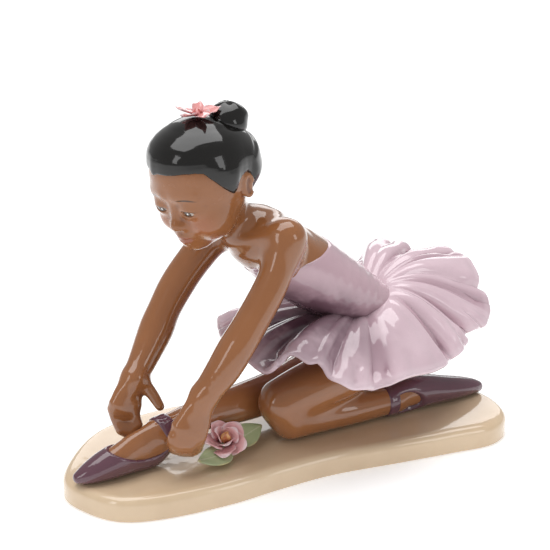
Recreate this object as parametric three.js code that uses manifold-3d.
// A glazed porcelain figurine: a young ballerina kneels on a kidney-shaped plinth, one leg stretched out
// in front of her, and bends forward to tie the ribbon at her front ankle.
//
// Frame: millimetres, +X along the plinth towards her back foot, +Y away from the side she is seen from,
// +Z up. The origin is the centre of the plinth's flat underside. She faces -X.
//
// A slip-cast figurine is made of castings and hand-formed sprigs that are stuck together with slip before
// the firing. Each of them is a mesh here, seated on its neighbours with SEAT_GAP between the faces.

import * as THREE from "three";
import { mergeVertices } from "three/addons/utils/BufferGeometryUtils.js";
import Module from "manifold-3d";

const wasm = await Module();
wasm.setup();

// ---------------------------------------------------------------- driving dimensions

const FIGURE_HEIGHT = 131; // top of the plinth to the top of the hair
const SEAT_GAP = 0.3; // between two pieces that touch

const PLINTH_LENGTH = 173;
const PLINTH_DEPTH = 67;
const PLINTH_HEIGHT = 9;
const PLINTH_TOP_ROUND = 3.2; // rounding of its top edge
const PLINTH_FOOT_ROUND = 0.9; // rounding of its bottom edge
const PLINTH_WALL = 2.6; // thickness of the hollow casting
const VENT_DIAMETER = 6.5; // hole in the underside that lets the kiln's steam out

const SLIPPER_THICKNESS = 0.9;
const RIBBON_THICKNESS = 0.9;
const RIBBON_WIDTH = 7;
const HAIR_THICKNESS = 2.2;
const BUN_DIAMETER = 14;
const HAIR_FLOWER_DIAMETER = 17;
const TUTU_THICKNESS = 2;
const TUTU_RUFFLE_HEIGHT = 2.4; // from the middle of the sheet to a crest, at the hem
const TUTU_RUFFLES = 13;
const ROSE_DIAMETER = 17;
const PETAL_THICKNESS = 0.9;
const LEAF_LENGTH = 15;
const LEAF_THICKNESS = 1.1;

// Figure stations are written for a figure DRAWN_HEIGHT tall, from the centre of the plinth's top face.
const DRAWN_HEIGHT = 131;
const SCALE = FIGURE_HEIGHT / DRAWN_HEIGHT;
const at = (x, y, z) => new THREE.Vector3(x * SCALE, y * SCALE, PLINTH_HEIGHT + z * SCALE);

// ---------------------------------------------------------------- glazes

const glaze = (color, roughness = 0.12) => ({ color, roughness, metalness: 0 });
const SKIN = glaze(0x9c6a45);
const HAIR = glaze(0x15110f, 0.08);
const LILAC = glaze(0xc9afc0);
const PLUM = glaze(0x5c4250);
const BEIGE = glaze(0xcdb797);
const ROSE_PINK = glaze(0xd9909f, 0.2);
const BUD_YELLOW = glaze(0xe0a56f, 0.2);
const LEAF_GREEN = glaze(0xa0ae80, 0.2);
const FLOWER_PINK = glaze(0xeb9797, 0.2);

// ---------------------------------------------------------------- solids

// A closed geometry as a solid, with its faces turned outwards.
function solid(geometry) {
  const bare = geometry.index ? geometry.clone() : mergeVertices(geometry);
  bare.deleteAttribute("normal");
  bare.deleteAttribute("uv");
  const merged = mergeVertices(bare, 1e-4);
  const vertProperties = new Float32Array(merged.attributes.position.array);
  const triVerts = new Uint32Array(merged.index.array);
  const made = new wasm.Manifold(new wasm.Mesh({ numProp: 3, vertProperties, triVerts }));
  if (made.volume() > 0) return made;
  triVerts.reverse();
  return new wasm.Manifold(new wasm.Mesh({ numProp: 3, vertProperties, triVerts }));
}

const union = (...solids) => solids.reduce((sum, next) => sum.add(next));
const cut = (body, ...tools) => tools.reduce((left, tool) => left.subtract(tool), body);

// The largest body left after a cut, without the slivers.
function largest(body) {
  return body.decompose().reduce((best, next) => (next.volume() > best.volume() ? next : best));
}

// A limb: rings of half width and half height along a smooth path, with a rounded cap at each end.
// A station is [x, y, z, half width, half height]. `upward` says which way the half height runs, `grow`
// makes the limb fatter all over, and `cap` is the length of a cap as a share of its end's radius.
function limb(stations, { around = 14, rings = 12, grow = 0, upward = [0, 0, 1], cap = 1 } = {}) {
  const path = new THREE.CatmullRomCurve3(stations.map(([x, y, z]) => at(x, y, z)), false, "centripetal");
  const halves = new THREE.CatmullRomCurve3(
    stations.map(([, , , width, height]) => new THREE.Vector3(width * SCALE, height * SCALE, 0)),
    false, "catmullrom", 0.5,
  );
  const capRings = 2;
  const rows = rings + 2 * capRings;
  const geometry = new THREE.SphereGeometry(1, around, rows);
  const position = geometry.attributes.position;
  const reference = new THREE.Vector3(...upward);
  for (let row = 0; row <= rows; row++) {
    const share = THREE.MathUtils.clamp((row - capRings) / rings, 0, 1);
    const inCap = Math.max(capRings - row, row - capRings - rings, 0) / capRings;
    const angle = (inCap * Math.PI) / 2;
    const centre = path.getPoint(share);
    const along = path.getTangent(share);
    const half = halves.getPoint(share);
    const width = (half.x + grow) * Math.cos(angle);
    const height = (half.y + grow) * Math.cos(angle);
    const reach = cap * (Math.min(half.x, half.y) + grow / cap) * Math.sin(angle);
    centre.addScaledVector(along, share < 0.5 ? -reach : reach);
    const up = reference.clone().addScaledVector(along, -reference.dot(along)).normalize();
    const side = new THREE.Vector3().crossVectors(up, along);
    for (let column = 0; column <= around; column++) {
      const turn = (2 * Math.PI * (column % around)) / around;
      const point = centre.clone();
      if (inCap < 1) {
        point.addScaledVector(side, width * Math.cos(turn)).addScaledVector(up, height * Math.sin(turn));
      }
      position.setXYZ(row * (around + 1) + column, point.x, point.y, point.z);
    }
  }
  return solid(geometry);
}

// An ellipsoid, from its centre and three radii, turned by `turn` (degrees about X, Y, Z).
function ball([x, y, z], [a, b, c], { around = 14, rows = 10, grow = 0, turn = [0, 0, 0] } = {}) {
  const geometry = new THREE.SphereGeometry(1, around, rows).rotateX(Math.PI / 2);
  geometry.scale(a * SCALE + grow, b * SCALE + grow, c * SCALE + grow);
  geometry.applyMatrix4(new THREE.Matrix4().makeRotationFromEuler(
    new THREE.Euler(...turn.map(THREE.MathUtils.degToRad), "ZYX"),
  ));
  const centre = at(x, y, z);
  return solid(geometry.translate(centre.x, centre.y, centre.z));
}

// A block that fills one side of a plane through a point, on the side that `normal` points to.
function halfSpace([x, y, z], normal) {
  const size = 400 * SCALE;
  const box = new THREE.BoxGeometry(size, size, size).translate(0, 0, size / 2);
  const turn = new THREE.Quaternion().setFromUnitVectors(
    new THREE.Vector3(0, 0, 1), new THREE.Vector3(...normal).normalize(),
  );
  const centre = at(x, y, z);
  return solid(box.applyQuaternion(turn).translate(centre.x, centre.y, centre.z));
}

const figurine = new THREE.Group();

// Adds a solid to the figurine as a named mesh with its glaze.
function piece(name, body, look) {
  const mesh = largest(body).getMesh();
  const geometry = new THREE.BufferGeometry();
  const corners = mesh.vertProperties;
  geometry.setAttribute("position", new THREE.BufferAttribute(corners, 3));
  geometry.setIndex(new THREE.BufferAttribute(mesh.triVerts, 1));
  geometry.computeVertexNormals();
  const made = new THREE.Mesh(geometry, new THREE.MeshStandardMaterial(look));
  made.name = name;
  figurine.add(made);
}

// ---------------------------------------------------------------- plinth

// Outline of the plinth, as shares of its half length and half depth, anticlockwise from the left end.
const PLINTH_OUTLINE = [
  [-1, -0.1], [-0.965, -0.5], [-0.86, -0.85], [-0.68, -0.99], [-0.4, -1], [-0.155, -0.92],
  [0.1, -0.87], [0.41, -0.93], [0.65, -0.97], [0.85, -0.985], [0.965, -0.79], [1, -0.43],
  [0.965, -0.02], [0.87, 0.4], [0.68, 0.64], [0.41, 0.7], [0.155, 0.79], [-0.075, 0.91],
  [-0.33, 1], [-0.57, 0.94], [-0.75, 0.76], [-0.9, 0.37],
];

const OUTLINE_STEPS = 40;

// A slab with the plinth's outline drawn in by `inset`, between two heights, its edges rounded.
function plinthSlab(bottom, top, round, inset = 0) {
  const corners = PLINTH_OUTLINE.map(
    ([x, y]) => new THREE.Vector3((x * PLINTH_LENGTH) / 2, (y * PLINTH_DEPTH) / 2, 0),
  );
  const outline = new THREE.CatmullRomCurve3(corners, true).getPoints(OUTLINE_STEPS).slice(0, -1);
  const shape = new THREE.Shape(outline.map(({ x, y }) => new THREE.Vector2(x, y)));
  const geometry = new THREE.ExtrudeGeometry(shape, {
    depth: top - bottom - 2 * round,
    bevelThickness: round,
    bevelSize: round,
    bevelOffset: -round - inset,
    bevelSegments: 2,
  });
  return solid(geometry.translate(0, 0, bottom + round));
}

function makePlinth() {
  const shell = union(
    plinthSlab(0, PLINTH_HEIGHT, PLINTH_TOP_ROUND),
    plinthSlab(0, PLINTH_HEIGHT - PLINTH_TOP_ROUND, PLINTH_FOOT_ROUND),
  );
  const hollow = plinthSlab(PLINTH_WALL, PLINTH_HEIGHT - PLINTH_WALL, 0.8, PLINTH_WALL + 1);
  const vent = new THREE.CylinderGeometry(VENT_DIAMETER / 2, VENT_DIAMETER / 2, 2 * PLINTH_WALL, 20)
    .rotateX(Math.PI / 2)
    .translate(0.3 * PLINTH_LENGTH, 0, PLINTH_WALL / 2);
  return cut(shell, hollow, solid(vent));
}

// Everything of the figure stops SEAT_GAP above the plinth.
const belowSeat = halfSpace([0, 0, SEAT_GAP / SCALE], [0, 0, -1]);

// ---------------------------------------------------------------- legs and slippers

const FRONT_LEG = [
  [47.5, 16.5, 20, 12, 12], [37.5, 14.5, 13, 12.5, 12.9], [19.5, 10.5, 13.5, 10, 10],
  [1.5, 5.5, 12.5, 8, 8], [-14.5, 1, 12.5, 7.3, 7.3], [-30.5, -3.5, 13.5, 6.2, 6.3],
  [-44.5, -7.5, 13.3, 5.2, 5.4], [-52.5, -9.6, 11.2, 4.9, 6.6],
];
const FRONT_FOOT = [
  [-51.5, -9.4, 11, 4.6, 6.2], [-56, -10.4, 8.8, 4.2, 7.8], [-62, -11.1, 8, 4.3, 7],
  [-68, -11.8, 6.7, 4.6, 5.6], [-74, -12.2, 5.4, 4.3, 4.4], [-79.5, -12.5, 4, 3.2, 2.8],
  [-83.5, -12.5, 3, 1.4, 1.2],
];
const KNEELING_SHIN = [
  [-0.5, -11, 8.1, 7.8, 7.8], [14.5, -10.5, 7, 6.6, 6.6], [27.5, -9.9, 6.7, 6.3, 6.3],
  [44.5, -9.1, 6, 4.9, 5.1],
];
const KNEELING_FOOT = [
  [43.5, -9.1, 6.2, 4.4, 4.8], [51.5, -8.5, 7, 4.2, 5.4], [57.5, -8, 6.7, 4.3, 5],
  [65.5, -7.3, 5.4, 4.1, 3.9], [73.5, -6.6, 4.2, 3.5, 2.8], [79.5, -6.2, 3.2, 2.2, 1.7],
  [82.5, -6, 2.5, 1, 0.9],
];
const KNEELING_THIGH = [
  [-4.5, -11, 15.5, 8.6, 9], [5.5, -11, 19, 9.2, 9.4], [21.5, -10, 23, 10.2, 10],
  [37.5, -8, 28, 11.5, 11], [47.5, -6.5, 31, 11.5, 11],
];

// A slipper round a foot: the foot's outside, hollowed for the foot, open over the instep and the heel.
function slipper(foot, legClear, throat, ribbonClear) {
  const outside = limb(foot, { grow: SEAT_GAP + SLIPPER_THICKNESS });
  return cut(outside, legClear, throat, ribbonClear, belowSeat);
}

// The space of an ankle ribbon, a band round the leg between two cuts, with its leg still inside it.
function ribbonBand(leg, from, to, grow = 0) {
  const [x, y, z] = from.map((value, i) => (value + to[i]) / 2);
  const axis = to.map((value, i) => value - from[i]);
  const half = RIBBON_WIDTH / 2 + grow / SCALE;
  const length = Math.hypot(...axis);
  const end = (sign) => [x, y, z].map((value, i) => value + (sign * axis[i] * half) / length);
  const band = limb(leg, { grow: SEAT_GAP + RIBBON_THICKNESS + grow });
  return cut(band, halfSpace(end(1), axis), halfSpace(end(-1), axis.map((value) => -value)), belowSeat);
}

// ---------------------------------------------------------------- body

const TORSO = [
  [38.5, 0.5, 41, 12, 10], [33.5, 0.5, 45, 12.3, 10.4], [20.5, -0.5, 54, 14.5, 12],
  [4.5, -0.5, 66, 17, 12.5], [-7.5, -0.5, 75.5, 17, 10],
];
const NECK = [[-11, -0.5, 78, 9.5, 8.5], [-17, -0.5, 85, 7.4, 7.2], [-23.5, -0.5, 94, 6.6, 6.8]];
const SHOULDERS = [[-4.5, -16.5, 81.5, 7, 7], [-8.5, -0.5, 81, 9, 8], [-12.5, 16.5, 77.5, 7, 7]];
const NECKLINE = { point: [5, -0.5, 71.7], normal: [-0.12, 0, 0.99] };

function upperBody(grow = 0) {
  return union(
    limb(TORSO, { grow, rings: 12 }),
    limb(SHOULDERS, { grow, rings: 10, around: 14 }),
    limb(NECK, { grow, rings: 6, around: 14 }),
  );
}

// ---------------------------------------------------------------- arms and hands

const LEFT_ARM = [
  [-5.3, -17.5, 83.8, 6.8, 6.8], [-8, -18.5, 75, 5.6, 5.8], [-13.6, -20.5, 65.4, 6, 6],
  [-21.9, -22.5, 54.3, 6.1, 6.1], [-28.1, -23.5, 46.3, 6.4, 6.4], [-33.2, -23.5, 38.9, 5.9, 6],
  [-39.4, -22.5, 30.7, 4.6, 4.8],
];
const LEFT_PALM = [[-39.4, -22.5, 30.7, 4.6, 4.2], [-42.7, -23, 24.6, 6, 3.6], [-46, -23, 19.2, 6.2, 3.2]];
const LEFT_FINGERS = [
  [[-49.5, -23, 20.5, 2.2, 2.2], [-52, -23, 16, 2, 2], [-51, -19.5, 11, 1.7, 1.7]],
  [[-47.5, -23.5, 18.5, 2.2, 2.2], [-49.5, -23.5, 13.8, 2, 2], [-47.5, -19.5, 8.8, 1.7, 1.7]],
  [[-44.5, -24, 17.5, 2.2, 2.2], [-45.8, -23.8, 12.8, 2, 2], [-43.8, -19.5, 7.8, 1.7, 1.7]],
  [[-41, -24.3, 20, 2.1, 2.1], [-41.6, -24.3, 15.5, 1.9, 1.9], [-41.6, -21, 9.5, 1.6, 1.6]],
];
const RIGHT_ARM = [
  [-14.3, 17.5, 78.1, 6.8, 6.8], [-27.2, 16.5, 65.4, 6.4, 6.4], [-34.5, 15.5, 57, 6.4, 6.4],
  [-40.2, 13.5, 49.4, 6.1, 6.1], [-44.3, 11.5, 43, 6.4, 6.4], [-51.1, 6.5, 35.2, 5.3, 5.4],
  [-56.3, 2.5, 30, 4.5, 4.7],
];
const RIGHT_PALM = [[-56.3, 2.5, 30, 4.4, 4.2], [-59.7, 1, 24.1, 5.6, 3.5], [-62.5, 0, 20.6, 5.4, 3]];
const RIGHT_FINGERS = [
  [[-57.5, -1, 20.5, 2, 2], [-58, -1.8, 17.5, 1.8, 1.8], [-57.5, -3.5, 14, 1.6, 1.6]],
  [[-60, 0, 19.5, 2, 2], [-60, -0.8, 15.5, 1.8, 1.8], [-59.5, -3, 11.5, 1.6, 1.6]],
  [[-63, 0.8, 19, 2, 2], [-62.5, 0, 14.8, 1.8, 1.8], [-61.5, -2.3, 10.8, 1.6, 1.6]],
  [[-65.5, 1.2, 20, 1.9, 1.9], [-64.8, 0.5, 16, 1.7, 1.7], [-63.8, -1.5, 12.2, 1.5, 1.5]],
  [[-53.3, 0.5, 28, 2.3, 2.3], [-50.9, -2.2, 23.5, 2.1, 2.1], [-49.5, -4.5, 20.3, 1.7, 1.7]],
];

function armWithHand(arm, palm, fingers, grow = 0) {
  return union(
    limb(arm, { around: 12, grow }),
    limb(palm, { rings: 4, around: 10, grow, upward: [0, 1, 0], cap: 0.8 }),
    ...fingers.map((finger) => limb(finger, { rings: 3, around: 7, grow })),
  );
}

// ---------------------------------------------------------------- head and hair

// The head is drawn upright, facing -X, about its own centre, then tilted and placed.
const HEAD_PLACE = { centre: [-27.5, -0.5, 103.5], tilt: -18, yaw: 27 };
const HEAD = [
  [-12.5, 0, -19, 5, 4], [-9, 0, -14.5, 10, 9], [-5, 0, -7, 14.3, 14.8],
  [-1, 0, 2, 16.8, 19], [2, 0, 9.5, 15.5, 18], [3.5, 0, 14, 11, 13],
];
const BUN_CENTRE = [-18.3, 0.5, 120.8]; // before it is raised by the hair's thickness
const HAIR_FLOWER_SEAT = [-30.5, -2.5, 123.4]; // before it is raised by the hair's thickness

// Points and directions of the head's own frame, in the figure's frame.
const headTurn = new THREE.Matrix4().makeRotationFromEuler(new THREE.Euler(
  0, THREE.MathUtils.degToRad(HEAD_PLACE.tilt), THREE.MathUtils.degToRad(HEAD_PLACE.yaw), "ZYX",
));
const headDirection = (direction) => new THREE.Vector3(...direction).applyMatrix4(headTurn).toArray();
const headPoint = (point) => headDirection(point).map((value, i) => value + HEAD_PLACE.centre[i]);
const onHead = (stations) => stations.map(([x, y, z, ...halves]) => [...headPoint([x, y, z]), ...halves]);
const headAngles = [0, HEAD_PLACE.tilt, HEAD_PLACE.yaw];

function headForm(grow = 0) {
  return limb(onHead(HEAD), {
    grow, around: 16, rings: 9, upward: headDirection([1, 0, 0]), cap: 0.55,
  });
}

function headWithFace(grow = 0) {
  const ears = [-1, 1].map((side) => ball(headPoint([3, side * 16.6, -3]), [3.2, 1.9, 5], {
    around: 8, rows: 6, grow, turn: headAngles,
  }));
  const noseLine = onHead([[-19, 0, -1, 1.4, 1.4], [-20.4, 0, -7, 2.2, 2]]);
  const nose = limb(noseLine, { around: 8, rings: 3, grow });
  return union(headForm(grow), nose, ...ears);
}

// ---------------------------------------------------------------- petals and leaves

// A petal or a leaf: a bowl-shaped sheet that narrows to its foot, along +X. `length` and `width` are its
// outline, `curl` is how far its tip turns up, `cup` how deep it is across, and `point` sharpens its tip.
function petal({ length, width, curl, cup, point = 0, thickness = PETAL_THICKNESS }) {
  const steps = 5;
  const across = 6;
  const geometry = new THREE.SphereGeometry(1, 2 * across, steps);
  const position = geometry.attributes.position;
  for (let row = 0; row <= steps; row++) {
    for (let column = 0; column <= 2 * across; column++) {
      const share = row / steps;
      const fullness = Math.sin(Math.PI * share ** 0.8) ** (0.6 + point);
      const turn = (2 * Math.PI * (column % (2 * across))) / (2 * across);
      const y = 0.5 * width * fullness * Math.cos(turn);
      const lift = curl * share ** 2 + cup * (2 * y / width) ** 2;
      const z = lift + 0.5 * thickness * Math.sin(turn) * Math.min(1, 6 * share, 6 * (1 - share));
      position.setXYZ(row * (2 * across + 1) + column, length * share, y, z);
    }
  }
  return geometry;
}

// A spray is a place and a direction that petals grow round: `seat` in figure stations, and the angles
// (degrees about X, Y, Z) that turn +Z to the way the flower faces.
function spray(seat, angles) {
  const place = at(...seat);
  const turn = new THREE.Euler(...angles.map(THREE.MathUtils.degToRad), "ZYX");
  const matrix = new THREE.Matrix4().makeRotationFromEuler(turn).setPosition(place);
  return (geometry) => solid(geometry.clone().applyMatrix4(matrix));
}

// The petals of a flower, as rings round +Z. Each petal rises by `rise` from its ring's plane and rolls by
// `roll` about its own length, so that it lies over one neighbour and under the other. It is trimmed clear
// of the petals before it and of `keepOff`. Returns the space that the petals fill, with the gap round it.
function petals(name, look, place, rings, keepOff) {
  const taken = [...keepOff];
  for (const { label, count, start, foot, rise, roll, height = 0, ...outline } of rings) {
    for (let i = 0; i < count; i++) {
      const set = (sheet) => place(sheet.rotateX(roll).rotateY(-rise).translate(foot, 0, height)
        .rotateZ(start + (2 * Math.PI * i) / count));
      piece(`${name}_${label}_${i + 1}`, cut(set(petal(outline)), ...taken), look);
      taken.push(set(petal({
        ...outline, width: outline.width + 2 * SEAT_GAP, thickness: PETAL_THICKNESS + 2 * SEAT_GAP,
      })));
    }
  }
  return taken;
}

// ---------------------------------------------------------------- tutu

// The hem, from the front round the near side, the back and the far side.
const TUTU_HEM = [
  [-19, -8, 37.5], [-15, -19, 37.5], [-6, -26, 39.5], [6, -33, 34], [16, -37, 28.6],
  [30, -36.5, 28.6], [44, -31, 27], [57, -25, 26.2], [70, -15, 29], [80, -9.5, 31.5],
  [86, -3, 38], [84.5, 5, 48], [80, 13, 52.5], [73, 19.5, 50], [64, 25.5, 52.5],
  [54, 33, 50], [41, 36, 42], [26, 35, 34], [12, 33.5, 31], [-2, 31, 33],
  [-12, 24, 36], [-18, 13, 37.5], [-20.5, 2, 38],
];
const TUTU_WAIST = { centre: [34, 0.5, 44.5], half: [10.5, 11], slope: 0.45 };

// The sheet runs from a ring at the waist out to the hem. Its crests and hollows grow towards the hem.
function makeTutu() {
  const around = 8 * TUTU_RUFFLES;
  const outward = 4;
  const sheet = 2 * outward + 2;
  const hem = new THREE.CatmullRomCurve3(TUTU_HEM.map((point) => at(...point)), true);
  const geometry = new THREE.TorusGeometry(2, 1, sheet, around);
  const position = geometry.attributes.position;
  const [cx, cy, cz] = TUTU_WAIST.centre;
  for (let column = 0; column <= around; column++) {
    const share = (column % around) / around;
    const rim = hem.getPoint(share);
    const centre = at(cx, cy, cz);
    const heading = Math.atan2(rim.y - centre.y, rim.x - centre.x);
    const start = at(
      cx + TUTU_WAIST.half[0] * Math.cos(heading), cy + TUTU_WAIST.half[1] * Math.sin(heading),
      cz + TUTU_WAIST.slope * TUTU_WAIST.half[0] * Math.cos(heading),
    );
    const crest = Math.cos(2 * Math.PI * TUTU_RUFFLES * share);
    for (let row = 0; row <= sheet; row++) {
      const step = row % sheet;
      const isTop = step <= outward;
      const out = isTop ? step / outward : (sheet - 1 - step) / outward;
      const point = start.clone().lerp(rim, out);
      const dome = 5 * SCALE * Math.sin(Math.PI * out ** 0.8);
      const side = (isTop ? 0.5 : -0.5) * TUTU_THICKNESS;
      point.z += dome + side + TUTU_RUFFLE_HEIGHT * crest * out ** 1.2;
      position.setXYZ(row * (around + 1) + column, point.x, point.y, point.z);
    }
  }
  return solid(geometry);
}

// ---------------------------------------------------------------- assembly

piece("plinth", makePlinth(), BEIGE);

const leg = (stations, foot, grow) => union(limb(stations, { grow }), limb(foot, { grow }));
const kneelingShinClear = leg(KNEELING_SHIN, KNEELING_FOOT, SEAT_GAP);
const kneelingThighClear = limb(KNEELING_THIGH, { grow: SEAT_GAP });
const frontLegClear = leg(FRONT_LEG, FRONT_FOOT, SEAT_GAP);

piece("kneeling_shin", cut(leg(KNEELING_SHIN, KNEELING_FOOT, 0), belowSeat), SKIN);
piece("kneeling_thigh", cut(limb(KNEELING_THIGH), kneelingShinClear, belowSeat), SKIN);
piece("front_leg", cut(leg(FRONT_LEG, FRONT_FOOT, 0), kneelingThighClear, belowSeat), SKIN);

const rearThroat = ball([48.5, -11, 12.5], [7.5, 9, 6.5], { turn: [0, 12, 0] });
const rearRibbon = [KNEELING_SHIN, [36, -9.4, 6.3], [40, -9.2, 6.1]];
piece("rear_slipper", slipper(
  KNEELING_FOOT, kneelingShinClear, rearThroat, ribbonBand(...rearRibbon, SEAT_GAP),
), PLUM);
piece("rear_ankle_ribbon", cut(ribbonBand(...rearRibbon), kneelingShinClear), PLUM);

const frontThroat = ball([-58, -12.5, 15.5], [9, 9, 8.5], { turn: [0, 20, 0] });
const frontRibbon = [FRONT_LEG, [-49, -8.7, 12.4], [-45, -7.6, 13.2]];
piece("front_slipper", slipper(
  FRONT_FOOT, frontLegClear, frontThroat, ribbonBand(...frontRibbon, SEAT_GAP),
), PLUM);
piece("front_ankle_ribbon", cut(ribbonBand(...frontRibbon), frontLegClear), PLUM);

const torso = (grow) => union(
  limb(TORSO, { around: 18, grow }),
  ball([43.5, 1.5, 32], [14, 18, 13], { around: 18, rows: 12, grow }),
);
const torsoClear = torso(SEAT_GAP);
const skinSide = halfSpace(NECKLINE.point, NECKLINE.normal);
const seam = NECKLINE.normal.map((value, i) => NECKLINE.point[i] + (value * SEAT_GAP) / SCALE);
const bodiceSide = halfSpace(seam, NECKLINE.normal.map((value) => -value));
piece("bodice", cut(
  torso(0), skinSide, kneelingThighClear, frontLegClear, kneelingShinClear, belowSeat,
), LILAC);
piece("upper_body", cut(upperBody(), bodiceSide), SKIN);

const upperBodyClear = upperBody(SEAT_GAP);
const ankleClear = union(
  frontLegClear,
  limb(FRONT_FOOT, { grow: 2 * SEAT_GAP + SLIPPER_THICKNESS }),
  ribbonBand(...frontRibbon, SEAT_GAP),
);
for (const [name, arm, palm, fingers] of [
  ["left_arm", LEFT_ARM, LEFT_PALM, LEFT_FINGERS],
  ["right_arm", RIGHT_ARM, RIGHT_PALM, RIGHT_FINGERS],
]) {
  const body = armWithHand(arm, palm, fingers);
  piece(name, cut(body, upperBodyClear, torsoClear, ankleClear, belowSeat), SKIN);
}

piece("head", cut(headWithFace(), upperBodyClear), SKIN);

const hairline = halfSpace(headPoint([-17, 0, 9]), headDirection([-0.55, 0, -0.83]));
const scalp = headForm(SEAT_GAP + HAIR_THICKNESS);
const scalpClear = headForm(2 * SEAT_GAP + HAIR_THICKNESS);
piece("hair_cap", cut(scalp, headWithFace(SEAT_GAP), hairline, upperBodyClear), HAIR);
const bunRadius = BUN_DIAMETER / SCALE / 2;
const onHair = ([x, y, z]) => [x, y, z + HAIR_THICKNESS / SCALE];
const bun = (grow) => ball(onHair(BUN_CENTRE), [bunRadius, bunRadius, 0.85 * bunRadius], {
  grow, turn: headAngles,
});
piece("hair_bun", cut(bun(0), scalpClear), HAIR);

const onCrown = spray(onHair(HAIR_FLOWER_SEAT), headAngles);
const flowerCentre = (grow) => onCrown(new THREE.SphereGeometry(0.08 * HAIR_FLOWER_DIAMETER + grow, 8, 6));
piece("hair_flower_centre", cut(flowerCentre(0), scalpClear), FLOWER_PINK);
petals("hair_flower", FLOWER_PINK, onCrown, [{
  label: "petal", count: 5, start: 0.6, foot: 0.05 * HAIR_FLOWER_DIAMETER, rise: 0.25, roll: 0.25,
  length: 0.45 * HAIR_FLOWER_DIAMETER, width: 0.32 * HAIR_FLOWER_DIAMETER, curl: 0.8, cup: 0.6, point: 0.3,
}], [scalpClear, bun(SEAT_GAP), flowerCentre(SEAT_GAP)]);

piece("tutu", cut(
  makeTutu(), torsoClear, kneelingThighClear, frontLegClear, kneelingShinClear,
), LILAC);

// The rose lies on the plinth beside the near hand, tipped towards the side it is seen from.
const ROSE_SEAT = [-28.5, -16.5, 4.5];
const ROSE_ANGLES = [32, -8, 0];
const inRose = spray(ROSE_SEAT, ROSE_ANGLES);
const handClear = armWithHand(LEFT_ARM, LEFT_PALM, LEFT_FINGERS, SEAT_GAP);
const roseSurroundings = [frontLegClear, handClear, belowSeat];

const calyx = (grow) => inRose(new THREE.SphereGeometry(0.2 * ROSE_DIAMETER + grow, 12, 8)
  .translate(0, 0, -0.17 * ROSE_DIAMETER));
piece("rose_calyx", cut(calyx(0), ...roseSurroundings), LEAF_GREEN);

const roseBud = (grow) => inRose(new THREE.SphereGeometry(1, 8, 8).rotateX(Math.PI / 2)
  .scale(0.1 * ROSE_DIAMETER + grow, 0.1 * ROSE_DIAMETER + grow, 0.2 * ROSE_DIAMETER + grow)
  .translate(0, 0, 0.22 * ROSE_DIAMETER));
piece("rose_bud", cut(roseBud(0), calyx(SEAT_GAP)), BUD_YELLOW);

const rosePetalsClear = petals("rose", ROSE_PINK, inRose, [{
  label: "outer_petal", count: 5, start: 0.5, foot: 0.1 * ROSE_DIAMETER, rise: 0.45, roll: 0.3,
  length: 0.42 * ROSE_DIAMETER, width: 0.45 * ROSE_DIAMETER, curl: 1, cup: 1.2,
}, {
  label: "inner_petal", count: 3, start: 0.2, foot: 0.08 * ROSE_DIAMETER, rise: 1, roll: 0.35, height: 1.6,
  length: 0.34 * ROSE_DIAMETER, width: 0.4 * ROSE_DIAMETER, curl: 0.4, cup: 1,
}], [...roseSurroundings, calyx(SEAT_GAP), roseBud(SEAT_GAP)]);

// Two leaves grow from the calyx, one to the front and one to the back, and lie on the plinth.
for (const [name, heading, lift] of [["leaf_front", 190, 0.6], ["leaf_back", 12, 0.9]]) {
  const sheet = petal({
    length: LEAF_LENGTH, width: 0.5 * LEAF_LENGTH, thickness: LEAF_THICKNESS,
    curl: 1.2, cup: 0.7, point: 0.25,
  });
  const place = spray([ROSE_SEAT[0], ROSE_SEAT[1], 0], [0, 0, heading]);
  const leaf = place(sheet.translate(0.1 * ROSE_DIAMETER, 0, lift));
  piece(name, cut(leaf, ...rosePetalsClear), LEAF_GREEN);
}

export default figurine;
